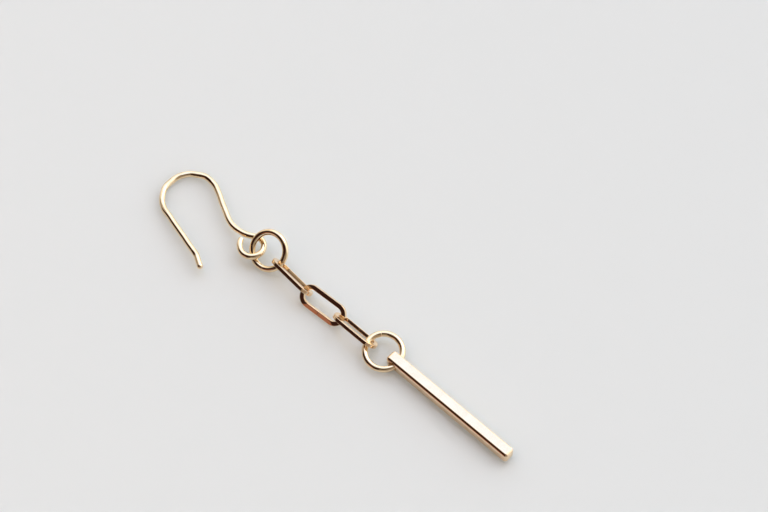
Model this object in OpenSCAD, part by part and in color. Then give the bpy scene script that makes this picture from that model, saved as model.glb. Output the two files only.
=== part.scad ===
// Drop earring, lying on its side: an ear wire, a jump ring, three long links,
// a pendant ring and a square bar. Each piece passes through the next one.
// Millimetres, +Z up. +X runs from the ear wire to the bar's free end.
// The origin is under the middle of the earring, on the surface it lies on.

/* [Bar] */
// Length of the bar
bar_l = 20; // [12:0.5:30]
// Width and height of the bar's square section
bar_w = 1.6; // [1.5:0.05:1.8]
// Radius along the bar's edges
bar_edge_r = 0.22; // [0.1:0.02:0.3]
// Diameter of the cross hole that takes the pendant ring
hole_d = 1.3; // [1.2:0.02:1.36]
// Distance from the bar's end to the middle of the cross hole
hole_x = 1.18; // [1.1:0.02:1.6]

/* [Rings] */
// Wire diameter of the jump ring and the pendant ring
ring_wire = 0.8; // [0.6:0.02:0.8]
// Radius of both rings, to the middle of the wire
ring_r = 2.33; // [2.2:0.01:2.5]
// How far the jump ring leans up on its far side, in degrees
jump_lean = 40; // [38:1:42]
// How far the pendant ring leans up on its far side, in degrees
pendant_lean = 5; // [2:1:8]
// How far the pendant ring dips towards the bar, in degrees
pendant_dip = 5.5; // [2:0.5:6]

/* [Links] */
// Length of a link, over its round ends
link_l = 6.88; // [6.6:0.02:8]
// Width of a link
link_w = 3; // [2.8:0.05:3.2]
// Width of the flattened wire, in the plane of the link
link_band = 0.62; // [0.5:0.02:0.64]
// Thickness of the flattened wire
link_t = 0.5; // [0.4:0.02:0.6]
// Radius along the edges of the flattened wire
link_edge_r = 0.08; // [0.06:0.01:0.18]
// Slack between two links, along the chain
link_play = 0.22; // [0.18:0.01:0.28]

/* [Ear wire] */
// Diameter of the ear wire
hook_wire = 0.8; // [0.6:0.02:0.9]
// Straight length of the flared tip, without its domed end
tip_l = 1.5; // [1:0.1:3]
// How far the tip flares out from the leg, in degrees
tip_flare = 14; // [5:1:25]
// Straight length of the leg behind the ear
leg_l = 7.65; // [6:0.05:10]
// Radius of the bow over the ear lobe, to the middle of the wire
bow_r = 3.57; // [3:0.01:4.5]
// Angle that the bow turns through, in degrees
bow_turn = 192.4; // [180:0.2:195]
// Straight length of the shank below the bow
shank_l = 4.4; // [3:0.02:6]
// Radius of the bend that leads the shank into the eye
sweep_r = 4.46; // [4:0.01:6]
// Angle that this bend turns through, in degrees
sweep_turn = 60; // [50:1:65]
// Radius of the eye, to the middle of the wire
eye_r = 1.49; // [1.45:0.01:1.6]
// Angle that the eye turns through before its cut end, in degrees
eye_turn = 308; // [290:1:309]
// Slope of the ear wire, up towards its eye, in degrees
hook_slope = 3.8; // [3.6:0.1:4]

/* [Hidden] */
$fa = 4;
$fs = 0.04;
gold = [0.82, 0.64, 0.42];

// Gap between the surface and the pieces that lie on it beside the bar and the bow.
lift = 0.02;
// Run of a cutting tool past the face that it cuts.
overrun = 1;

// Places along the chain, measured from the bar's holed end, which is at x = 0 here.
// Each ring's wire lies this far inside the end of the link that it holds.
pendant_grip = 0.74;
jump_grip = 0.6;
// The wire curves inside the hole, so the ring sits this much nearer the bar than its radius.
hole_bow = 0.2;
link_reach = link_l / 2 - link_band;
link_pitch = 2 * link_reach - link_play;
pendant_x = hole_x - ring_r + hole_bow;
link_3_x = pendant_x - ring_r + pendant_grip - link_reach;
link_2_x = link_3_x - link_pitch;
link_1_x = link_2_x - link_pitch;
jump_x = link_1_x - link_reach + jump_grip - ring_r;

// One row for each link: x, y, roll about its length, turn in plan.
LINKS = [
    [link_1_x, -0.37, -57, -4.5],
    [link_2_x, -0.53, 38, 3],
    [link_3_x, -0.44, -50, 0]
];

pendant_centre = [pendant_x, -0.05, 0.955];
jump_centre = [jump_x, 0.14, lift + ring_wire / 2 + ring_r * sin(jump_lean)];

// The ear wire's route in plan, from the tip to the cut end of the eye.
// Columns: straight length, bend radius, turn to the left in degrees.
hook_heading = 150;
tip_bend_r = 1.5;
neck_l = 0.12;
ROUTE = [
    [tip_l, 0, 0],
    [0, tip_bend_r, tip_flare],
    [leg_l, 0, 0],
    [0, bow_r, -bow_turn],
    [shank_l, 0, 0],
    [0, sweep_r, sweep_turn],
    [neck_l, 0, 0],
    [0, eye_r, -eye_turn]
];
BOW = 3;
EYE = 7;

// Bent wire is a hair thinner than straight wire, and each bend ends inside its straight neighbour.
bend_wire = hook_wire - 0.008;
bend_bite = 0.05;

// Centre of a bend that starts at pose p, which is [x, y, heading].
function bend_centre(p, leg) = [
    p[0] - sign(leg[2]) * leg[1] * sin(p[2]),
    p[1] + sign(leg[2]) * leg[1] * cos(p[2])
];

// Pose at the end of one row of the route.
function after(p, leg) = leg[2] == 0
    ? [p[0] + leg[0] * cos(p[2]), p[1] + leg[0] * sin(p[2]), p[2]]
    : let (c = bend_centre(p, leg), h = p[2] + leg[2], s = sign(leg[2]) * leg[1])
      [c[0] + s * sin(h), c[1] - s * cos(h), h];

// Pose at the start of row i of the route.
function pose(i) = i == 0 ? [0, 0, hook_heading] : after(pose(i - 1), ROUTE[i - 1]);

// The eye holds the jump ring: its centre lies this far behind and beside the ring's centre.
eye_back = 2.18;
eye_side = 0.8;
eye_local = bend_centre(pose(EYE), ROUTE[EYE]);
bow_local = bend_centre(pose(BOW), ROUTE[BOW]);
// Run of the route in x from the bow to the eye. The bow's far side lies on the surface.
eye_run = eye_local[0] - bow_local[0];
eye_x = jump_x - eye_back;
eye_y = jump_centre[1] - eye_side;
eye_z = bend_wire / 2 + (bow_r + eye_run) * sin(hook_slope);

// Middle of the whole earring in plan, from its outermost points.
x_low = eye_x - (bow_r + eye_run) * cos(hook_slope) - bend_wire / 2;
y_low = eye_y - eye_local[1] - hook_wire / 2;
y_high = eye_y - eye_local[1] + bow_local[1] + bow_r + bend_wire / 2;
middle = [(x_low + bar_l) / 2, (y_low + y_high) / 2, 0];

// Moves a piece from the chain's own places to the earring's origin.
module placed(centre, turn) {
    translate(centre - middle)
        rotate(turn)
            children();
}

// Flat rectangle with round corners, centred.
module rounded_rect(w, h, r) {
    square([w - 2 * r, h], center = true);
    square([w, h - 2 * r], center = true);
    for (sx = [-1, 1])
        for (sy = [-1, 1])
            translate([sx * (w / 2 - r), sy * (h / 2 - r)])
                circle(r);
}

// Round wire bent into a full circle, flat on its own plane.
module wire_ring(radius, wire) {
    rotate_extrude()
        translate([radius, 0])
            circle(wire / 2);
}

// Straight row of the ear wire's route.
module straight_leg(p, leg) {
    translate([p[0], p[1], 0])
        rotate([0, 90, p[2]])
            cylinder(d = hook_wire, h = leg[0]);
}

// Bent row of the ear wire's route, a little longer at both ends than its turn.
module bent_leg(p, leg) {
    c = bend_centre(p, leg);
    bite = bend_bite / leg[1] * 180 / PI;
    first = leg[2] > 0 ? p[2] - 90 : p[2] + 90 + leg[2];
    translate([c[0], c[1], 0])
        rotate([0, 0, first - bite])
            rotate_extrude(angle = abs(leg[2]) + 2 * bite)
                translate([leg[1], 0])
                    circle(bend_wire / 2);
}

// Half ball that closes the tip, facing back along the route.
module dome(p, wire) {
    translate([p[0], p[1], 0])
        rotate([0, -90, p[2]])
            rotate_extrude()
                intersection() {
                    circle(wire / 2);
                    square(wire / 2);
                }
}

// Straight side of a link, centred on its own length.
module link_rail(side) {
    translate([0, side * (link_w - link_band) / 2, 0])
        rotate([90, 0, 90])
            linear_extrude(height = link_l - link_w, center = true)
                rounded_rect(link_band, link_t, link_edge_r);
}

// Round end of a link, on its +X side.
module link_end() {
    translate([(link_l - link_w) / 2, 0, 0])
        rotate([0, 0, -90])
            rotate_extrude(angle = 180)
                translate([(link_w - link_band) / 2, 0])
                    rounded_rect(link_band, link_t, link_edge_r);
}

// Height of a link's middle when it lies on its lower rail at this roll.
function link_rest(roll) = lift + link_edge_r
    + (link_w / 2 - link_edge_r) * abs(sin(roll))
    + (link_t / 2 - link_edge_r) * abs(cos(roll));

// Long link of flattened wire, with two straight rails and two round ends.
module chain_link(number) {
    row = LINKS[number - 1];
    color(gold)
        placed([row[0], row[1], link_rest(row[2])], [row[2], 0, row[3]])
            union() {
                link_rail(-1);
                link_rail(1);
                link_end();
                mirror([1, 0, 0])
                    link_end();
            }
}

// Closed ring between the ear wire's eye and the first link.
module jump_ring() {
    color(gold)
        placed(jump_centre, [jump_lean, 0, 0])
            wire_ring(ring_r, ring_wire);
}

// Closed ring between the last link and the bar.
module pendant_ring() {
    color(gold)
        placed(pendant_centre, [pendant_lean, pendant_dip, 0])
            wire_ring(ring_r, ring_wire);
}

// Ear wire: flared tip, leg, bow over the ear lobe, shank, sweep and eye.
module ear_hook() {
    color(gold)
        placed([eye_x, eye_y, eye_z], [0, -hook_slope, 0])
            translate([-eye_local[0], -eye_local[1], 0])
                union() {
                    dome(pose(0), hook_wire);
                    for (i = [0 : len(ROUTE) - 1]) {
                        if (ROUTE[i][2] == 0)
                            straight_leg(pose(i), ROUTE[i]);
                        else
                            bent_leg(pose(i), ROUTE[i]);
                    }
                }
}

// Square bar with softened edges and a cross hole near one end.
module bar() {
    color(gold)
        placed([bar_l / 2, 0, bar_w / 2], [0, 0, 0])
            difference() {
                intersection() {
                    linear_extrude(height = bar_w, center = true)
                        rounded_rect(bar_l, bar_w, bar_edge_r);
                    rotate([90, 0, 0])
                        linear_extrude(height = bar_w, center = true)
                            rounded_rect(bar_l, bar_w, bar_edge_r);
                    rotate([90, 0, 90])
                        linear_extrude(height = bar_l, center = true)
                            rounded_rect(bar_w, bar_w, bar_edge_r);
                }
                translate([hole_x - bar_l / 2, 0, 0])
                    rotate([90, 0, 0])
                        cylinder(d = hole_d, h = bar_w + 2 * overrun, center = true);
            }
}

ear_hook();
jump_ring();
chain_link(1);  // chain_link_1
chain_link(2);  // chain_link_2
chain_link(3);  // chain_link_3
pendant_ring();
bar();
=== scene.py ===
# %% [markdown]
# # A drop earring in polished gold, laid on a pale glossy table
# An ear wire, a jump ring, three long links, a pendant ring and a square bar lie in a row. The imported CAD
# model gives the exact places. Each piece is drawn here once more as a smooth surface, because polished
# metal shows every flat facet of a triangle mesh as a kink in its reflections.

import bmesh
import bpy
import numpy as np
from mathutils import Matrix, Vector


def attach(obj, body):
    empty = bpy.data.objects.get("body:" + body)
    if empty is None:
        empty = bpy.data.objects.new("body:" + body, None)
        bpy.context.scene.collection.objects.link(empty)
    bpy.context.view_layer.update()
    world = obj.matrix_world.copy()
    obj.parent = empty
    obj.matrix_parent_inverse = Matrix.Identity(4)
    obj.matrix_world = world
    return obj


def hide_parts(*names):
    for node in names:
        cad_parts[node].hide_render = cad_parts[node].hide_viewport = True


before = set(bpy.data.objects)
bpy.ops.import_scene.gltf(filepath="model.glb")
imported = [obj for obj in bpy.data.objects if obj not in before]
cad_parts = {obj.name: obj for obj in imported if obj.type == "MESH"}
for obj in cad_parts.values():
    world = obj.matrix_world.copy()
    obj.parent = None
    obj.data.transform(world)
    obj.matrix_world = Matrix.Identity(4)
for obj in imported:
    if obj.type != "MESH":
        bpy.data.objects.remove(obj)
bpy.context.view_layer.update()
# The pieces' sizes are written in millimetres, and the scene's unit is the metre.
MM = 0.001

# %% [markdown]
# ## One way to make every wire
# A wire is a small profile carried along a line. At each point of the line there are two directions across
# it, so the surface is: point of the line + across * profile x + up * profile y. A grid of such points
# becomes quads. The grid closes round the profile, and along the line too if it is a loop.

# %% From a grid of points to a mesh
# Points closer than this, in metres, are one point.
SAME_PLACE = 1e-8


def grid_faces(rows, columns, loop):
    """Quads between neighbouring grid points. Columns always close; rows close only for a loop."""
    i = np.arange(rows if loop else rows - 1)[:, None]
    j = np.arange(columns)[None, :]
    next_i, next_j = (i + 1) % rows, (j + 1) % columns
    corners = [i * columns + j, i * columns + next_j, next_i * columns + next_j, next_i * columns + j]
    return np.stack(corners, axis=-1).reshape(-1, 4)


def close_poles(mesh):
    """Points that share a place become one, so an end that shrinks to a point is closed.

    All faces then face outwards.
    """
    shape = bmesh.new()
    shape.from_mesh(mesh)
    bmesh.ops.remove_doubles(shape, verts=shape.verts, dist=SAME_PLACE)
    bmesh.ops.recalc_face_normals(shape, faces=shape.faces)
    shape.to_mesh(mesh)
    shape.free()


def volume(mesh):
    """Sum over the triangles of a . (b x c) / 6, in mm3. It is positive where the faces point outwards."""
    mesh.calc_loop_triangles()
    corners = np.empty(len(mesh.vertices) * 3)
    mesh.vertices.foreach_get("co", corners)
    index = np.empty(len(mesh.loop_triangles) * 3, dtype=int)
    mesh.loop_triangles.foreach_get("vertices", index)
    a, b, c = (corners.reshape(-1, 3)[index.reshape(-1, 3)[:, k]] / MM for k in range(3))
    return float(np.einsum("ij,ij->", a, np.cross(b, c)) / 6)


def mesh_object(name, surface, loop, run, turn):
    """A smooth mesh object at the origin, from a grid of points in mm.

    run is each row's place along the wire and turn is each column's place round it, in mm. They are kept as
    the point attributes wire_run and wire_turn, which the finishes read.
    """
    rows, columns = surface.shape[:2]
    quads = grid_faces(rows, columns, loop)
    mesh = bpy.data.meshes.new(name)
    mesh.vertices.add(rows * columns)
    mesh.vertices.foreach_set("co", (surface * MM).ravel())
    mesh.loops.add(quads.size)
    mesh.loops.foreach_set("vertex_index", quads.ravel())
    mesh.polygons.add(len(quads))
    mesh.polygons.foreach_set("loop_start", np.arange(0, quads.size, 4))
    mesh.polygons.foreach_set("loop_total", np.full(len(quads), 4))
    mesh.update(calc_edges=True)
    mesh.polygons.foreach_set("use_smooth", np.ones(len(quads), dtype=bool))
    for label, values in (("wire_run", run[:, None]), ("wire_turn", turn[None, :])):
        on_grid = np.broadcast_to(values, (rows, columns)).ravel()
        mesh.attributes.new(label, "FLOAT", "POINT").data.foreach_set("value", on_grid)
    close_poles(mesh)
    piece = bpy.data.objects.new(name, mesh)
    bpy.context.scene.collection.objects.link(piece)
    print(f"{name}: {len(mesh.polygons)} faces, {volume(mesh):.3f} mm3")
    return piece


# %% Carry a profile along a line
AXIS_Y, AXIS_Z = np.array([0, 1.0, 0]), np.array([0, 0, 1.0])
# The drawn rings and bar stay this far inside their solids, in mm.
INSIDE = 0.001


def swept(line, across, up, profile, scale):
    """Points line + scale * (across * profile x + up * profile y), for every line point and profile point."""
    offset = across[:, None, :] * profile[None, :, :1] + up[:, None, :] * profile[None, :, 1:2]
    return line[:, None, :] + scale[:, None, None] * offset


def round_profile(radius, count=40):
    """A circle: (r cos a, r sin a)."""
    a = np.linspace(0, 2 * np.pi, count, endpoint=False)
    return radius * np.column_stack([np.cos(a), np.sin(a)])


def averaged(values, steps, mode):
    """Running mean over an odd number of steps. Past the ends the values stay, or wrap round for a loop."""
    width = max(1, int(round(steps)) | 1)
    padded = np.pad(values, width // 2, mode=mode)
    return np.convolve(padded, np.ones(width) / width, mode="valid")


def running_length(points):
    """Length of a line up to each of its points: 0, then the running sum of its steps."""
    return np.concatenate([[0], np.cumsum(np.linalg.norm(np.diff(points, axis=0), axis=1))])


# %% [markdown]
# ## The ear wire
# A maker bends it from one length of 0.8 mm wire round pegs: a short flared tip, a straight leg, the bow,
# the shank, and a small open eye that holds the jump ring. Bending by hand leaves no sudden change from
# straight to round, so the curvature is averaged over half a millimetre before it is added up into a line.
# The eye's last stretch is bent less, and its end stops 0.3 mm short of the wire that leads into the eye.

# %% The ear wire's route
# Radius of the wire, a hair under the straight CAD wire's 0.4 mm.
WIRE_R = 0.396
# Way that the wire sets off from its tip, in degrees.
HEADING = 150.0
EYE_R = 1.49
# The CAD eye turns through this angle at one radius, in degrees.
CAD_EYE_TURN = 308
ROUTE = np.array([
    # straight, bend radius, turn to the left in degrees
    [1.5, 0, 0],
    [0, 1.5, 14],
    [7.65, 0, 0],
    [0, 3.57, -192.4],
    [4.4, 0, 0],
    [0, 4.46, 60],
    [0.12, 0, 0],
    [0, EYE_R, -230],
    [0, 2.0, -56],
])
# Places of the bow and the eye in the route, counted from 0.
BOW, EYE = 3, 7
EYE_CENTRE = np.array([-14.0431, 1.3995, 1.3556])
SLOPE = np.radians(3.8)
# Step along the line, and the length over which its curvature is averaged, in mm.
STEP, SOFTEN = 0.02, 0.5


def route_line(soften):
    """Heading = start + running sum of curvature; place = running sum of (cos, sin) of the heading.

    soften is the length in mm over which the curvature is averaged.
    """
    straight, radius, turn = ROUTE[:, 0], ROUTE[:, 1], np.radians(ROUTE[:, 2])
    is_straight = turn == 0
    ends = np.cumsum(np.where(is_straight, straight, np.abs(turn) * radius))
    s = np.arange(0, ends[-1], STEP)
    row = np.searchsorted(ends, s, side="right")
    curvature = np.sign(turn) / np.where(is_straight, 1, radius)
    curvature = averaged(curvature[row], soften / STEP, "edge")
    heading = np.radians(HEADING) + np.cumsum(curvature) * STEP
    plan = np.cumsum(np.column_stack([np.cos(heading), np.sin(heading)]), axis=0) * STEP
    return s, heading, plan, ends


s, heading, plan, ends = route_line(SOFTEN)
_, exact_heading, exact_plan, _ = route_line(0)
# The softened line is laid on the exact one halfway round the eye, and the eye's centre becomes the origin.
halfway = np.searchsorted(s, ends[EYE - 1] + EYE_R * np.radians(CAD_EYE_TURN / 2))
inward = exact_heading[halfway] - np.pi / 2
eye = exact_plan[halfway] + EYE_R * np.array([np.cos(inward), np.sin(inward)])
plan += exact_plan[halfway] - plan[halfway] - eye
print("ear wire is", round(ends[-1] + WIRE_R, 2), "mm long, straightened")

# %% [markdown]
# Wire that is bent by hand is never a perfect arc. It sways by a few hundredths of a millimetre, more on
# the bow than on the leg, and the jaws of the pliers leave small flats. The eye can't see either, but
# polished metal shows both, because each breaks up the long highlight.

# %% Sway of hand bending
# Factor of the waves on straight wire, what the bow adds to it, and the length of its fades, in mm.
SWAY, BOW_SWAY, SWAY_FADE = 0.008, 0.02, 0.3
SWAY_WAVES = [
    # share, wavelength in mm, phase
    (1.0, 3.1, 0.4),
    (0.6, 1.9, 2.0),
]


def sway(s, ends):
    """Shift across the line: a sum of two sines, 0.012 mm on straight wire and up to 0.045 mm on the bow."""
    past_bow = 1 + np.exp((s - ends[BOW]) / SWAY_FADE)
    on_bow = 1 / (1 + np.exp(-(s - ends[BOW - 1]) / SWAY_FADE)) / past_bow
    wave = sum(share * np.sin(2 * np.pi * s / length + phase) for share, length, phase in SWAY_WAVES)
    before_eye = 1 / (1 + np.exp((s - ends[EYE - 1]) / SWAY_FADE))
    return (SWAY + BOW_SWAY * on_bow) * wave * before_eye


side = np.column_stack([-np.sin(heading), np.cos(heading)])
plan += sway(s, ends)[:, None] * side
ahead = np.gradient(plan, axis=0)
heading = np.arctan2(ahead[:, 1], ahead[:, 0])
print("largest sway:", round(np.abs(sway(s, ends)).max(), 3), "mm")

# %% [markdown]
# The tip is filed to a half ball so that it slips through the ear, and the eye's end is a plain cut with
# its edge taken off. Both are made by letting the profile shrink over the last rows: a circle's quarter for
# the ball, and a much shorter quarter for the cut.

# %% Ends and flats of the ear wire
# Rows of points that close each end, and the length of the cut end's edge, in mm.
END_ROWS, CUT_EDGE = 12, 0.09
# Away from a flat, the cosine of the angle from it is held at this value or more.
LEAST_COSINE = 0.2
PLIER_FLATS = [
    # place along the wire, angle round it in degrees, depth, length of the flat
    (1.9, 60, 0.022, 0.9),
    (6.1, 110, 0.012, 1.4),
    (9.7, 75, 0.020, 1.2),
    (11.6, 125, 0.024, 1.3),
    (13.9, 60, 0.022, 1.5),
    (16.4, 100, 0.016, 1.2),
    (19.6, 120, 0.024, 1.2),
    (21.3, 70, 0.022, 1.1),
    (24.4, 95, 0.012, 1.6),
    (27.9, 60, 0.018, 1.2),
]


def end_rows(line, heading, length, first):
    """Rows past an end of the line: at distance length * sin a, the profile's scale is cos a."""
    a = np.linspace(0, np.pi / 2, END_ROWS + 1)[1:]
    i, sign = (0, -1) if first else (-1, 1)
    ahead = np.array([np.cos(heading[i]), np.sin(heading[i])])
    rows = line[i] + sign * length * np.sin(a)[:, None] * ahead
    return (rows[::-1], np.cos(a)[::-1]) if first else (rows, np.cos(a))


def with_ends(values, before, after):
    """The values, with one value repeated for the rows of the first end and another for the last end."""
    return np.concatenate([np.full(END_ROWS, before), values, np.full(END_ROWS, after)])


def flattened(s, angle):
    """Radius = the smallest of the wire's own and, for each flat, (radius - depth) / cosine.

    The cosine is that of the angle from the flat. The depth rises and falls along the wire as
    exp(-(2 * distance / length)^4), so a flat has soft ends.
    """
    radius = np.full((len(s), len(angle)), WIRE_R)
    for place, facing, depth, length in PLIER_FLATS:
        pressed = depth * np.exp(-((2 * (s - place) / length) ** 4))
        lean = np.cos(angle - np.radians(facing))
        flat = (WIRE_R - pressed)[:, None] / np.maximum(lean, LEAST_COSINE)[None, :]
        radius = np.minimum(radius, flat)
    return radius


# %% The ear wire's surface
# The mesh has a row for every few steps of the line, and this many points round the wire.
ROW_EVERY, ROUND_COUNT = 4, 56

keep = np.arange(0, len(s), ROW_EVERY)
line, line_heading = plan[keep], heading[keep]
tip_rows, tip_scale = end_rows(line, line_heading, WIRE_R, first=True)
cut_rows, cut_scale = end_rows(line, line_heading, CUT_EDGE, first=False)
line = np.concatenate([tip_rows, line, cut_rows])
line_heading = with_ends(line_heading, line_heading[0], line_heading[-1])
scale = np.concatenate([tip_scale, np.ones(len(keep)), cut_scale])
round_the_wire = np.linspace(0, 2 * np.pi, ROUND_COUNT, endpoint=False)
radius = flattened(with_ends(s[keep], 0, s[-1]), round_the_wire) * scale[:, None]

# The wire lies in a plane that slopes up towards the eye.
slope_x = np.array([np.cos(SLOPE), 0, np.sin(SLOPE)])
slope_up = np.array([-np.sin(SLOPE), 0, np.cos(SLOPE)])
centre_line = EYE_CENTRE + line[:, :1] * slope_x + line[:, 1:] * AXIS_Y
across = -np.sin(line_heading)[:, None] * slope_x + np.cos(line_heading)[:, None] * AXIS_Y
surface = (
    centre_line[:, None, :]
    + (radius * np.cos(round_the_wire))[..., None] * across[:, None, :]
    + (radius * np.sin(round_the_wire))[..., None] * slope_up
)
ear_wire = mesh_object("ear_wire", surface, False, running_length(centre_line), round_the_wire * WIRE_R)

# %% [markdown]
# ## The two rings
# Both are 0.8 mm wire bent into a full circle, so they are a circle carried round a circle. A real ring is
# cut from a coil and its ends are pressed together: a hairline groove stays at the join.

# %% Rings
RING_R, RING_WIRE_R = 2.33, 0.4
# The join's groove, in mm.
RING_GROOVE = {"depth": 0.03, "width": 0.03}


def turned(points, degrees):
    """Turns points about X, then about Y, then about Z, by the three angles in degrees."""
    for axis, angle in enumerate(np.radians(degrees)):
        cos, sin = np.cos(angle), np.sin(angle)
        a, b = (axis + 1) % 3, (axis + 2) % 3
        first = points[..., a] * cos - points[..., b] * sin
        second = points[..., a] * sin + points[..., b] * cos
        points = points.copy()
        points[..., a], points[..., b] = first, second
    return points


def groove(distance, depth, width):
    """A dent of that depth, whose sides fall off as exp(-(distance / width)^2)."""
    return depth * np.exp(-((distance / width) ** 2))


def ring(name, centre, degrees, join_at, rows=720):
    """Point = centre + (R + r cos b) * (cos a, sin a, 0) + r sin b * Z, turned; r is smaller at the join."""
    a = np.linspace(0, 2 * np.pi, rows, endpoint=False)
    outward = np.column_stack([np.cos(a), np.sin(a), np.zeros_like(a)])
    upward = np.broadcast_to(AXIS_Z, outward.shape)
    from_join = np.abs((a - np.radians(join_at) + np.pi) % (2 * np.pi) - np.pi) * RING_R
    profile = round_profile(RING_WIRE_R - INSIDE)
    shrink = 1 - groove(from_join, **RING_GROOVE) / RING_WIRE_R
    shape = swept(RING_R * outward, outward, upward, profile, shrink)
    round_wire = np.arange(len(profile)) / len(profile) * 2 * np.pi * RING_WIRE_R
    return mesh_object(name, turned(shape, degrees) + centre, True, a * RING_R, round_wire)


# Middles of the two rings, how they are turned about X, Y and Z, and where each is joined, in mm and degrees.
JUMP_RING = {"centre": np.array([-11.8631, 2.1995, 1.9177]), "degrees": (40, 0, 0), "join_at": 285}
PENDANT_RING = {"centre": np.array([7.9369, 2.0095, 0.955]), "degrees": (5, 5.5, 0), "join_at": 140}

jump_ring = ring("jump_ring_wire", **JUMP_RING)
pendant_ring = ring("pendant_ring_wire", **PENDANT_RING)

# %% [markdown]
# ## The long links
# Each link is flattened wire bent to a long oval: two straight rails and two half circles. Rolling the wire
# flat leaves soft corners and a face that is a hair higher in the middle. The two ends of the wire meet in
# the middle of one rail, and closing them twists that rail by 12 to 18 degrees. So it mirrors another part
# of the room than the other rail does: a warmer part on the middle link, and a paler one on the links
# beside it.

# %% Profile and line of a link
LINK_L, LINK_W = 6.88, 3.0
BAND, THICK, CORNER = 0.62, 0.5, 0.055
# The flattened wire is drawn this much smaller than the CAD one, and its faces bulge by the second value.
BAND_SLACK, CROWN = 0.004, 0.005
STRAIGHT = LINK_L - LINK_W
BEND_R = (LINK_W - BAND) / 2
# Length once round the link, and the length over which its curvature is averaged, in mm.
ROUND_LINK, LINK_SOFTEN = 2 * STRAIGHT + 2 * np.pi * BEND_R, 0.25


def soft_rectangle(width, height, corner, crown, per_side=8, per_corner=9):
    """A rectangle with quarter-circle corners.

    Each side bulges by crown * (1 - t^2), inside the full width.
    """
    w, h = width / 2 - crown, height / 2 - crown
    points = []
    for quarter, (sx, sy) in enumerate([(1, 1), (-1, 1), (-1, -1), (1, -1)]):
        a = np.radians(90 * quarter) + np.linspace(0, np.pi / 2, per_corner)
        corner_centre = np.array([sx * (w - corner), sy * (h - corner)])
        points.append(corner_centre + corner * np.column_stack([np.cos(a), np.sin(a)]))
        t = np.linspace(-1, 1, per_side + 2)[1:-1, None]
        nx, ny = [(0, 1), (-1, 0), (0, -1), (1, 0)][quarter]
        half_side = np.array([-ny, nx]) * ((w if nx == 0 else h) - corner)
        side = np.array([nx * w, ny * h]) + t * half_side + crown * (1 - t**2) * np.array([nx, ny])
        points.append(side)
    return np.concatenate(points)


def oval_line(rows):
    """Heading = running sum of curvature round a long oval, with the curvature's steps averaged.

    The line starts in the middle of a rail. What is left open after one round is shared out over all points.
    """
    step = ROUND_LINK / rows
    s = np.arange(rows) * ROUND_LINK / rows
    on_bend = np.zeros(rows, dtype=bool)
    for start in (STRAIGHT / 2, 1.5 * STRAIGHT + np.pi * BEND_R):
        on_bend |= (s > start) & (s < start + np.pi * BEND_R)
    curvature = averaged(np.where(on_bend, 1 / BEND_R, 0.0), LINK_SOFTEN / step, "wrap")
    curvature *= 2 * np.pi / (curvature.sum() * step)
    heading = np.cumsum(curvature) * step - curvature * step / 2
    plan = np.cumsum(np.column_stack([np.cos(heading), np.sin(heading)]), axis=0) * step
    plan -= np.arange(rows)[:, None] / rows * (plan[-1] - plan[0] + (plan[1] - plan[0]))
    return s, heading, plan - (plan.max(axis=0) + plan.min(axis=0)) / 2


# %% Links
# The CAD link's corner radius, and how far the links lie above the table, in mm.
CAD_CORNER, LIFT = 0.08, 0.02
# The twist reaches this far from the join and fades over the second length, in mm.
TWIST_REACH, TWIST_FADE = 2.3, 0.25
LINK_GROOVE = {"depth": 0.02, "width": 0.025}
LINK_ROWS = [
    # x, y, roll, turn in plan, twist; a half turn in plan puts the joined rail on the far side
    (-7.3131, 1.6895, 57, 175.5, 15),
    (-1.8931, 1.5295, 38, 3, 12),
    (3.5269, 1.6195, 50, 180, 18),
]


def long_link(name, centre, degrees, twist, rows=600):
    """The soft rectangle carried round the long oval, turned and put in place.

    twist, in degrees, turns the rectangle round the wire on the first rail and fades out over its bends.
    """
    s, heading, plan = oval_line(rows)
    flat = np.column_stack([plan, np.zeros(rows)])
    outward = np.column_stack([np.sin(heading), -np.cos(heading), np.zeros(rows)])
    upward = np.broadcast_to(AXIS_Z, flat.shape)
    from_join = np.minimum(s, ROUND_LINK - s)
    lean = (np.radians(twist) / (1 + np.exp((from_join - TWIST_REACH) / TWIST_FADE)))[:, None]
    cos, sin = np.cos(lean), np.sin(lean)
    outward, upward = outward * cos - upward * sin, upward * cos + outward * sin
    section = soft_rectangle(BAND - BAND_SLACK, THICK - BAND_SLACK, CORNER, CROWN)
    shape = swept(flat, outward, upward, section, 1 - groove(from_join, **LINK_GROOVE) / (THICK / 2))
    return mesh_object(name, turned(shape, degrees) + centre, True, s, running_length(section))


def link_rest(roll):
    """Height of a link's middle when the CAD link lies on its lower rail's corner at this roll."""
    lean = np.radians(roll)
    half_w, half_t = LINK_W / 2 - CAD_CORNER, THICK / 2 - CAD_CORNER
    return LIFT + CAD_CORNER + half_w * np.sin(lean) + half_t * np.cos(lean)


links = [
    long_link(f"long_link_{n}", np.array([x, y, link_rest(roll)]), (roll, 0, plan_turn), twist)
    for n, (x, y, roll, plan_turn, twist) in enumerate(LINK_ROWS, start=1)
]

# %% [markdown]
# ## The bar
# A square rod, sawn to length, with its edges rounded by hand on a polishing wheel, so they aren't all
# alike: the near top edge is the roundest and makes the widest dark line. It is a rounded square carried
# along X, and at both ends the profile shrinks along a quarter circle. The cross hole is cut with a turned
# cutter that is a little wider at both mouths, as a jeweller breaks a hole's sharp edge.

# %% The bar's body
# Length, width, and radius of the end edges, in mm.
BAR_L, BAR_W, BAR_END = 20.0, 1.6, 0.45
# Radii of the four long edges: far top, near top, near bottom, far bottom.
BAR_EDGES = np.array([0.24, 0.45, 0.3, 0.24])
# Added to each edge's radius, in mm, so that none shrinks to nothing.
LEAST_EDGE = 0.001
# Rows that shrink towards the middle fill the flat ends. These are their sizes.
END_FILL = np.array([0, 0.35, 0.7, 0.93])
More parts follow.
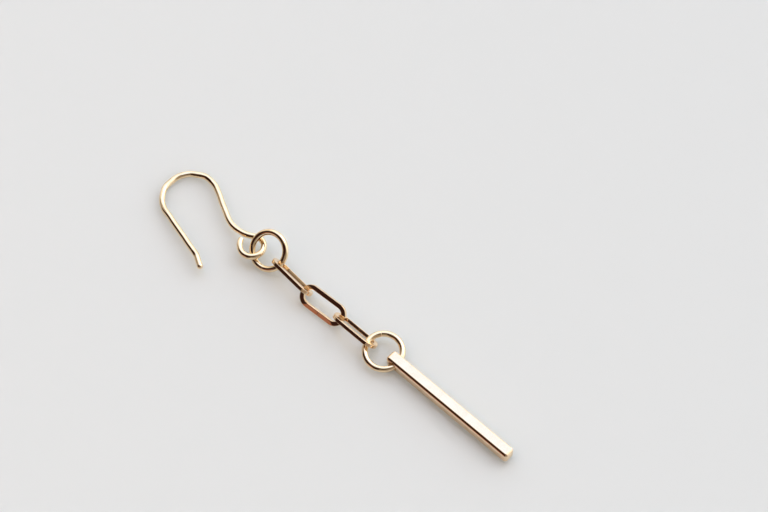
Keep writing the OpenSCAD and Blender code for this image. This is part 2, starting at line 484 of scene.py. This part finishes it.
# Middle of the holed end, and the cross hole's distance from it and radius.
BAR_START = np.array([8.8869, 2.0595, 0.8])
HOLE_X, HOLE_R = 1.18, 0.65


def soft_square(half, radii, per_side=14, per_corner=10):
    """A square with a quarter circle of its own radius at each corner, and even steps along its sides."""
    signs = np.array([(1, 1), (-1, 1), (-1, -1), (1, -1)])
    a = np.radians(90 * np.arange(4))[:, None] + np.linspace(0, np.pi / 2, per_corner)
    middle = signs * (half - radii)[:, None]
    corners = middle[:, None] + radii[:, None, None] * np.stack([np.cos(a), np.sin(a)], axis=-1)
    t = np.linspace(0, 1, per_side + 2)[1:-1, None]
    sides = corners[:, -1:] * (1 - t) + np.roll(corners[:, :1], -1, axis=0) * t
    return np.concatenate([corners, sides], axis=1).reshape(-1, 2)


def bar_section(inset):
    """The bar's profile with its sides moved in and its edges' radii made smaller in proportion."""
    return soft_square(BAR_W / 2 - INSIDE - inset, BAR_EDGES * (1 - inset / BAR_END) + LEAST_EDGE)


def bar_body(name, end_rows=11, body_rows=160):
    """The square carried along X. Over an end's quarter circle each side moves in by r (1 - sin a)."""
    a = np.linspace(0, np.pi / 2, end_rows)
    rise, loss = BAR_END * (1 - np.cos(a)), BAR_END * (1 - np.sin(a))
    body = np.linspace(BAR_END, BAR_L - BAR_END, body_rows)[1:-1]
    x = np.concatenate([rise, body, BAR_L - rise[::-1]])
    loss = np.concatenate([loss, np.zeros(len(body)), loss[::-1]])
    sections = np.stack([bar_section(inset) for inset in loss])
    fill = END_FILL[:, None, None]
    sections = np.concatenate([sections[:1] * fill, sections, sections[-1:] * fill[::-1]])
    x = np.concatenate([np.full(len(END_FILL), x[0]), x, np.full(len(END_FILL), x[-1])])
    places = np.broadcast_to(x[:, None, None], sections.shape[:2] + (1,))
    points = np.concatenate([places, sections], axis=-1) + BAR_START
    return mesh_object(name, points, False, x, np.linspace(0, 4 * BAR_W, points.shape[1]))


# %% The bar's cross hole
# The cutter reaches this far from the bar's middle, and its rims open by the second value, in mm.
CUTTER_REACH, RIM = 1.2, 0.035
# Faces that meet at more than this angle, in degrees, keep a sharp edge between them.
SHARP_FROM = 32


def hole_cutter(name, columns=96):
    """A circle carried along Y through the bar, with the hole's radius and a rim that opens at 45 degrees."""
    half = BAR_W / 2
    y = np.array([-CUTTER_REACH, -half - RIM, -half + RIM, half - RIM, half + RIM, CUTTER_REACH])
    radius = HOLE_R + np.array([2, 2, 0, 0, 2, 2]) * RIM
    a = np.linspace(0, 2 * np.pi, columns, endpoint=False)
    wheel = np.column_stack([np.cos(a), np.zeros_like(a), np.sin(a)])
    points = radius[:, None, None] * wheel + y[:, None, None] * AXIS_Y
    middles = points[[0, -1]] * AXIS_Y
    points = np.concatenate([middles[:1], points, middles[1:]]) + BAR_START + np.array([HOLE_X, 0, 0])
    return mesh_object(name, points, False, np.zeros(len(points)), np.zeros(columns))


def cut(piece, cutter):
    """Takes the cutter's solid out of the piece for good, and removes the cutter."""
    modifier = piece.modifiers.new("hole", "BOOLEAN")
    modifier.operation, modifier.solver, modifier.object = "DIFFERENCE", "EXACT", cutter
    shown = piece.evaluated_get(bpy.context.evaluated_depsgraph_get())
    piece.data = bpy.data.meshes.new_from_object(shown)
    piece.modifiers.clear()
    bpy.data.objects.remove(cutter)


bar = bar_body("square_bar")
cut(bar, hole_cutter("hole_cutter"))
bar.data.set_sharp_from_angle(angle=np.radians(SHARP_FROM))
print("bar after the hole is cut:", round(volume(bar.data), 3), "mm3")

# %% [markdown]
# ## Polished gold
# Gold plate on brass is a metal: it has no colour of its own apart from the tint of its reflections. What
# tells real polished wire from a perfect mirror is small: slow waves left by polishing, hairlines along the
# wire from drawing and wear, and a faint film of handling that dulls it in patches. Three groups make these
# once, and each finish uses them with its own values. A fourth marks the wall of the bar's hole, which a
# drill leaves matt.

# %% Helpers for node groups
# Object coordinates are in metres, so they and a pattern's count per mm are multiplied by this.
THOUSAND = 1000.0
# A Mix node's colour sockets: its two inputs and its output.
COLOUR_A, COLOUR_B, COLOUR_OUT = 6, 7, 2


def new_group(name, inputs, outputs):
    """A shader node group with float inputs (name: default) and outputs (name: socket type)."""
    group = bpy.data.node_groups.new(name, "ShaderNodeTree")
    for label, value in inputs.items():
        group.interface.new_socket(label, in_out="INPUT", socket_type="NodeSocketFloat").default_value = value
    for label, kind in outputs.items():
        group.interface.new_socket(label, in_out="OUTPUT", socket_type=kind)
    return group, group.nodes.new("NodeGroupInput"), group.nodes.new("NodeGroupOutput")


def node(tree, kind, links_in=None, **settings):
    """A new node with its settings, and its inputs joined to sockets or set to plain values."""
    made = tree.nodes.new(kind)
    for label, value in settings.items():
        setattr(made, label, value)
    for label, value in (links_in or {}).items():
        if isinstance(value, bpy.types.NodeSocket):
            tree.links.new(value, made.inputs[label])
        else:
            made.inputs[label].default_value = value
    return made


def math_node(tree, operation, a, b=0.0, c=0.0):
    """The output socket of a Math node."""
    return node(tree, "ShaderNodeMath", {0: a, 1: b, 2: c}, operation=operation).outputs[0]


def object_pattern(group, given):
    """Object coordinates, and the scale that gives a pattern its count per mm on them."""
    place = node(group, "ShaderNodeTexCoord").outputs["Object"]
    return place, math_node(group, "MULTIPLY", given.outputs["Per mm"], THOUSAND)


def noise(group, given, place, scale, detail, roughness=0.5):
    """A smooth noise, mostly near 0.5. Its fourth coordinate is the group's seed."""
    inputs = {"Vector": place, "W": given.outputs["Seed"], "Scale": scale, "Detail": detail}
    made = node(group, "ShaderNodeTexNoise", inputs, noise_dimensions="4D")
    made.inputs["Roughness"].default_value = roughness
    return made.outputs["Fac"]


# %% Waves, hairlines and handling film
# A hairline starts where its noise passes LINE_START, less the share times LINE_SPREAD.
# It is full from LINE_FULL.
LINE_START, LINE_SPREAD, LINE_FULL = 0.72, 0.3, 0.76
# The film starts and is full at these values of its two noises' product. The second noise is finer by this.
FILM_START, FILM_FULL, FILM_FINER = 0.2, 0.36, 9.0


def polish_waves():
    """Height of the slow waves of hand polishing: one smooth noise in object space."""
    group, given, out = new_group("Polish waves", {"Per mm": 0.6, "Seed": 0.0}, {"Height": "NodeSocketFloat"})
    place, scale = object_pattern(group, given)
    group.links.new(noise(group, given, place, scale, detail=1.0, roughness=0.4), out.inputs["Height"])
    return group


def hairlines():
    """Mask of fine lines along the wire: noise stretched along wire_run, cut off near its top."""
    inputs = {"Across per mm": 22.0, "Along per mm": 0.5, "Share": 0.35, "Seed": 0.0}
    group, given, out = new_group("Hairlines", inputs, {"Mask": "NodeSocketFloat"})
    along_wire = node(group, "ShaderNodeAttribute", attribute_name="wire_run").outputs["Fac"]
    round_wire = node(group, "ShaderNodeAttribute", attribute_name="wire_turn").outputs["Fac"]
    place = node(group, "ShaderNodeCombineXYZ", {
        "X": math_node(group, "MULTIPLY", along_wire, given.outputs["Along per mm"]),
        "Y": math_node(group, "MULTIPLY", round_wire, given.outputs["Across per mm"]),
    }).outputs[0]
    lines = noise(group, given, place, scale=1.0, detail=2.0)
    lowered = math_node(group, "MULTIPLY", given.outputs["Share"], LINE_SPREAD)
    start = math_node(group, "SUBTRACT", LINE_START, lowered)
    mask = node(group, "ShaderNodeMapRange", {"Value": lines, "From Min": start, "From Max": LINE_FULL})
    group.links.new(mask.outputs[0], out.inputs["Mask"])
    return group


def handling_film():
    """Mask from 0 to 1 of the dull film that fingers leave: two noises multiplied, so it comes in patches."""
    group, given, out = new_group("Handling film", {"Per mm": 0.9, "Seed": 0.0}, {"Mask": "NodeSocketFloat"})
    place, scale = object_pattern(group, given)
    finer = math_node(group, "MULTIPLY", scale, FILM_FINER)
    broad = noise(group, given, place, scale, detail=3.0)
    fine = noise(group, given, place, finer, detail=4.0)
    both = math_node(group, "MULTIPLY", broad, fine)
    mask = node(group, "ShaderNodeMapRange", {"Value": both, "From Min": FILM_START, "From Max": FILM_FULL})
    group.links.new(mask.outputs[0], out.inputs["Mask"])
    return group


def drilled_wall():
    """1 within a radius of the cross hole's axis, which runs along Y, and 0 outside: the hole's wall."""
    inputs = {"Axis X mm": 0.0, "Axis Z mm": 0.0, "Radius mm": 0.7}
    group, given, out = new_group("Drilled wall", inputs, {"Mask": "NodeSocketFloat"})
    place = node(group, "ShaderNodeTexCoord").outputs["Object"]
    parts = node(group, "ShaderNodeSeparateXYZ", {0: place}).outputs
    squares = []
    for part, axis in (("X", "Axis X mm"), ("Z", "Axis Z mm")):
        less_axis = math_node(group, "MULTIPLY", given.outputs[axis], -1.0)
        aside = math_node(group, "MULTIPLY_ADD", parts[part], THOUSAND, less_axis)
        squares.append(math_node(group, "MULTIPLY", aside, aside))
    limit = math_node(group, "MULTIPLY", given.outputs["Radius mm"], given.outputs["Radius mm"])
    inside = math_node(group, "LESS_THAN", math_node(group, "ADD", *squares), limit)
    group.links.new(inside, out.inputs["Mask"])
    return group


WAVES, HAIRLINES, FILM, DRILLED = polish_waves(), hairlines(), handling_film(), drilled_wall()
print("groups:", [g.name for g in bpy.data.node_groups])

# %% [markdown]
# ## The three gold finishes
# The wires, the links and the bar come from different stock, so their plating isn't quite the same: the
# links are the rosiest. The tint is a little deeper in the film's patches, the hairlines are slightly
# rougher, and the waves bend the surface by a few thousandths of a millimetre.

# %% Gold finishes
WIRE_GOLD = (0.93, 0.74, 0.495, 1)
LINK_GOLD = (0.93, 0.695, 0.455, 1)
BAR_GOLD = (0.93, 0.725, 0.505, 1)
# What the film multiplies the tint by.
DEEPER = np.array([0.97, 0.94, 0.89, 1])
# Roughness of the clean gold, and what the film and the hairlines add to it.
CLEAN_ROUGH, FILM_ROUGH, LINE_ROUGH = 0.03, 0.03, 0.05
# Depth of the hairlines, in thousandths of a millimetre, and one such thousandth in metres.
LINE_UM, MICRON = 0.2, 1e-6


def gold_finish(name, gold, seed, wave_um, lines_per_mm):
    """A metal whose colour, roughness and normal follow the film, the hairlines and the waves."""
    material = bpy.data.materials.new(name)
    material.use_nodes = True
    tree = material.node_tree
    shader = tree.nodes["Principled BSDF"]
    shader.inputs["Metallic"].default_value = 1.0
    film = node(tree, "ShaderNodeGroup", {"Seed": seed}, node_tree=FILM).outputs["Mask"]
    line_values = {"Seed": seed, "Across per mm": lines_per_mm}
    lines = node(tree, "ShaderNodeGroup", line_values, node_tree=HAIRLINES).outputs["Mask"]
    waves = node(tree, "ShaderNodeGroup", {"Seed": seed}, node_tree=WAVES).outputs["Height"]
    tints = {"Factor": film, COLOUR_A: gold, COLOUR_B: tuple(np.array(gold) * DEEPER)}
    tint = node(tree, "ShaderNodeMix", tints, data_type="RGBA")
    tree.links.new(tint.outputs[COLOUR_OUT], shader.inputs["Base Color"])
    dull = math_node(tree, "MULTIPLY_ADD", film, FILM_ROUGH, CLEAN_ROUGH)
    dull = math_node(tree, "MULTIPLY_ADD", lines, LINE_ROUGH, dull)
    tree.links.new(dull, shader.inputs["Roughness"])
    height = math_node(tree, "MULTIPLY", waves, wave_um)
    height = math_node(tree, "MULTIPLY_ADD", lines, -LINE_UM, height)
    bump = node(tree, "ShaderNodeBump", {"Height": height, "Distance": MICRON, "Strength": 1.0})
    tree.links.new(bump.outputs[0], shader.inputs["Normal"])
    return material


wire_finish = gold_finish("gold_wire", WIRE_GOLD, seed=1.0, wave_um=3.0, lines_per_mm=16.0)
link_finish = gold_finish("gold_link", LINK_GOLD, seed=2.0, wave_um=2.0, lines_per_mm=18.0)
bar_finish = gold_finish("gold_bar", BAR_GOLD, seed=3.0, wave_um=2.5, lines_per_mm=20.0)

# %% Matt wall of the bar's hole
# The mask reaches this far past the hole's radius, in mm. It takes this much off the metal there, so that
# the wall scatters light as a satin surface does.
WALL_REACH, WALL_LOSS = 0.01, 0.7

bar_tree = bar_finish.node_tree
wall = node(bar_tree, "ShaderNodeGroup", {
    "Axis X mm": float(BAR_START[0] + HOLE_X),
    "Axis Z mm": float(BAR_START[2]),
    "Radius mm": HOLE_R + WALL_REACH,
}, node_tree=DRILLED)
metal = math_node(bar_tree, "MULTIPLY_ADD", wall.outputs["Mask"], -WALL_LOSS, 1.0)
bar_tree.links.new(metal, bar_tree.nodes["Principled BSDF"].inputs["Metallic"])
print("finishes:", [finish.name for finish in (wire_finish, link_finish, bar_finish)])

# %% [markdown]
# ## Each piece takes its node's place
# The drawn surface is shown and the CAD solid of the same size is hidden. The surface rides on the root body
# and takes its finish.

# %% Finishes and places
STANDS_FOR = [
    (ear_wire, "ear_hook", wire_finish, "gold_wire"),
    (jump_ring, "jump_ring", wire_finish, "gold_wire"),
    (pendant_ring, "pendant_ring", wire_finish, "gold_wire"),
    (links[0], "chain_link_1", link_finish, "gold_link"),
    (links[1], "chain_link_2", link_finish, "gold_link"),
    (links[2], "chain_link_3", link_finish, "gold_link"),
    (bar, "bar", bar_finish, "gold_bar"),
]
for piece, cad_node, finish, slot in STANDS_FOR:
    piece.data.materials.clear()
    piece.data.materials.append(finish)
    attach(piece, "root")
    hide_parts(cad_node)

# %% [markdown]
# ## The table
# The earring lies on a pale, smooth sheet that lets light in a few millimetres deep, like thick paper or
# milk glass. Light that enters beside a piece comes out under it, so the shadows stay soft. It is a plain
# plane.

# %% Table
# Side of the table in metres.
TABLE_SIDE = 1.6
TABLE_LOOK = {
    "Base Color": (0.731, 0.779, 0.783, 1),
    "Roughness": 0.18,
    "Specular IOR Level": 0.25,
    "Subsurface Weight": 1.0,
    # The three colours reach equally deep, and the scale is that depth in metres.
    "Subsurface Radius": (1.0, 1.0, 1.0),
    "Subsurface Scale": 0.006,
}


def table_top(side):
    """A square of four points at z = 0."""
    half = side / 2
    corners = [(-half, -half, 0), (half, -half, 0), (half, half, 0), (-half, half, 0)]
    mesh = bpy.data.meshes.new("table_top")
    mesh.from_pydata(corners, [], [(0, 1, 2, 3)])
    table = bpy.data.objects.new("table_top", mesh)
    bpy.context.scene.collection.objects.link(table)
    return table


table = table_top(TABLE_SIDE)
pale = bpy.data.materials.new("pale_table")
pale.use_nodes = True
for label, value in TABLE_LOOK.items():
    pale.node_tree.nodes["Principled BSDF"].inputs[label].default_value = value
table.data.materials.append(pale)
print("table:", TABLE_SIDE, "m square")

# %% [markdown]
# ## Light
# Polished metal is only as good as what it mirrors. The light is one wide window beyond the earring, in a
# pale room, and the near side is dim. All of it is painted on the sky by direction, so that every piece
# mirrors the same room. A round patch covers the directions whose dot product with its middle is high.

# %% The sky's parts
def direction(azimuth, elevation):
    """Unit vector towards a place in the sky. Azimuth 0 is -Y and 90 is +X, in degrees."""
    a, e = np.radians(azimuth), np.radians(elevation)
    return (float(np.sin(a) * np.cos(e)), float(-np.cos(a) * np.cos(e)), float(np.sin(e)))


world = bpy.data.worlds.new("studio")
bpy.context.scene.world = world
world.use_nodes = True
sky = world.node_tree
looked_at = node(sky, "ShaderNodeTexCoord").outputs["Generated"]


def towards(azimuth, elevation):
    """Dot product of the direction looked at and the one to a place in the sky."""
    inputs = {0: looked_at, 1: direction(azimuth, elevation)}
    return node(sky, "ShaderNodeVectorMath", inputs, operation="DOT_PRODUCT").outputs["Value"]


def fade(value, start, end):
    """0 up to start and 1 from end on, smooth in between; start may be the larger one."""
    inputs = {"Value": value, "From Min": start, "From Max": end}
    return node(sky, "ShaderNodeMapRange", inputs, interpolation_type="SMOOTHSTEP").outputs[0]


def patch(azimuth, elevation, inner, outer):
    """1 inside the inner angle round a place in the sky, 0 outside the outer angle."""
    start, end = (float(np.cos(np.radians(angle))) for angle in (outer, inner))
    return fade(towards(azimuth, elevation), start, end)


def blend(under, over, share):
    """under where share is 0, over where it is 1. Each is a colour or a colour socket."""
    mix = node(sky, "ShaderNodeMix", {"Factor": share, COLOUR_A: under, COLOUR_B: over}, data_type="RGBA")
    mix.clamp_result = False
    return mix.outputs[COLOUR_OUT]


# %% [markdown]
# Each patch answers something that the gold shows. The near edge of every piece has a thin, nearly black
# line: there is a dark place low on the near side. The middle link's lower rail is copper red: the sky has
# a small warm patch low beside that place. The top of the bow has a dark line too: the sky is dark straight
# behind the camera. Everything that faces up and away is bright: the window. Its near end stops overhead,
# roughly along the line of the bar. The sun in it makes the small highlights on the wires. The cool, bright
# pane is the one that the bar's flat top sends to the camera, and it is cool enough to look white in gold.

# %% Room, daylight and window
ROOM = (0.33, 0.29, 0.25, 1)
DAYLIGHT = (1.02, 1.01, 1.0, 1)
WINDOW = (1.4, 1.42, 1.46, 1)
SUN = (3.6, 3.6, 3.6, 1)
PANE = (1.15, 1.38, 1.85, 1)
DARK = (0.034, 0.014, 0.011, 1)
WARM = (0.36, 0.17, 0.125, 1)
# The window stays on the side of the sky towards this azimuth. Its cut edge is this wide, as a dot product.
WINDOW_SIDE, WINDOW_EDGE = 200, 0.1
PATCHES = [
    # colour, azimuth, elevation, angle inside which it is whole, angle outside which it is gone; in degrees
    (DAYLIGHT, 190, 0, 80, 94),
    (DARK, 341, 27, 39, 44),
    (WARM, 352, 8, 11, 15),
    (WINDOW, 175, 44, 58, 63),
    (SUN, 175, 48, 8, 24),
    (PANE, 222, 62, 13, 25),
    (DARK, 43, 61, 12, 20),
]

beyond = fade(towards(WINDOW_SIDE, 0), 0.0, WINDOW_EDGE)
light = ROOM
for colour, azimuth, elevation, inner, outer in PATCHES:
    share = patch(azimuth, elevation, inner, outer)
    if colour == WINDOW:
        share = math_node(sky, "MULTIPLY", share, beyond)
    light = blend(light, colour, share)
background = sky.nodes["Background"]
sky.links.new(light, background.inputs["Color"])
background.inputs["Strength"].default_value = 1.0
print("patches on the sky:", len(PATCHES))

# %% [markdown]
# The room behind the camera also gives a little warm light. A large, weak lamp stands for it. It brightens
# the table and the hole's matt wall, but glossy rays don't see it, so the wires keep the thin dark line that
# the dim room gives them.

# %% Warm fill
def fill_lamp(azimuth, elevation, distance, size, watts, colour):
    """A square lamp at that place in the sky, facing the earring; -Z of a lamp is the way it shines.

    distance and size are in metres.
    """
    lamp = bpy.data.lights.new("warm_fill", "AREA")
    lamp.size, lamp.energy, lamp.color = size, watts, colour
    stand = bpy.data.objects.new("warm_fill", lamp)
    stand.location = Vector(direction(azimuth, elevation)) * distance
    stand.rotation_euler = (-stand.location).to_track_quat("-Z", "Y").to_euler()
    stand.visible_glossy = False
    stand.visible_camera = False
    bpy.context.scene.collection.objects.link(stand)
    print("lamp of", watts, "W at", [round(v, 2) for v in stand.location], "m")


fill_lamp(azimuth=332, elevation=52, distance=1.5, size=1.5, watts=10, colour=(1.0, 0.62, 0.37))

# %% [markdown]
# ## Camera
# The photograph looks down at 61 degrees from the bar's near side with a long lens.

# %% Camera
LOOK_AT = np.array([-1.573, 12.230, 0.0]) * MM
CAMERA_AT = np.array([147.5, -147.0, 393.6]) * MM
# The photograph's width and focal length in pixels, and the sensor's width in mm.
PHOTO_WIDTH, PHOTO_FOCAL, SENSOR_WIDTH = 768, 3592.7, 36.0
# Nearest and farthest distance that the camera sees, in metres.
SEES_FROM, SEES_TO = 0.01, 10.0
camera_data = bpy.data.cameras.new("camera")
camera_data.sensor_width = SENSOR_WIDTH
camera_data.lens = SENSOR_WIDTH * PHOTO_FOCAL / PHOTO_WIDTH
camera_data.clip_start, camera_data.clip_end = SEES_FROM, SEES_TO
camera = bpy.data.objects.new("camera", camera_data)
bpy.context.scene.collection.objects.link(camera)
camera.location = Vector(CAMERA_AT)
camera.rotation_euler = Vector(LOOK_AT - CAMERA_AT).to_track_quat("-Z", "Y").to_euler()
bpy.context.scene.camera = camera
print("lens", round(camera_data.lens, 1), "mm")

# %% View transform, and the end
view = bpy.context.scene.view_settings
view.view_transform = "Standard"
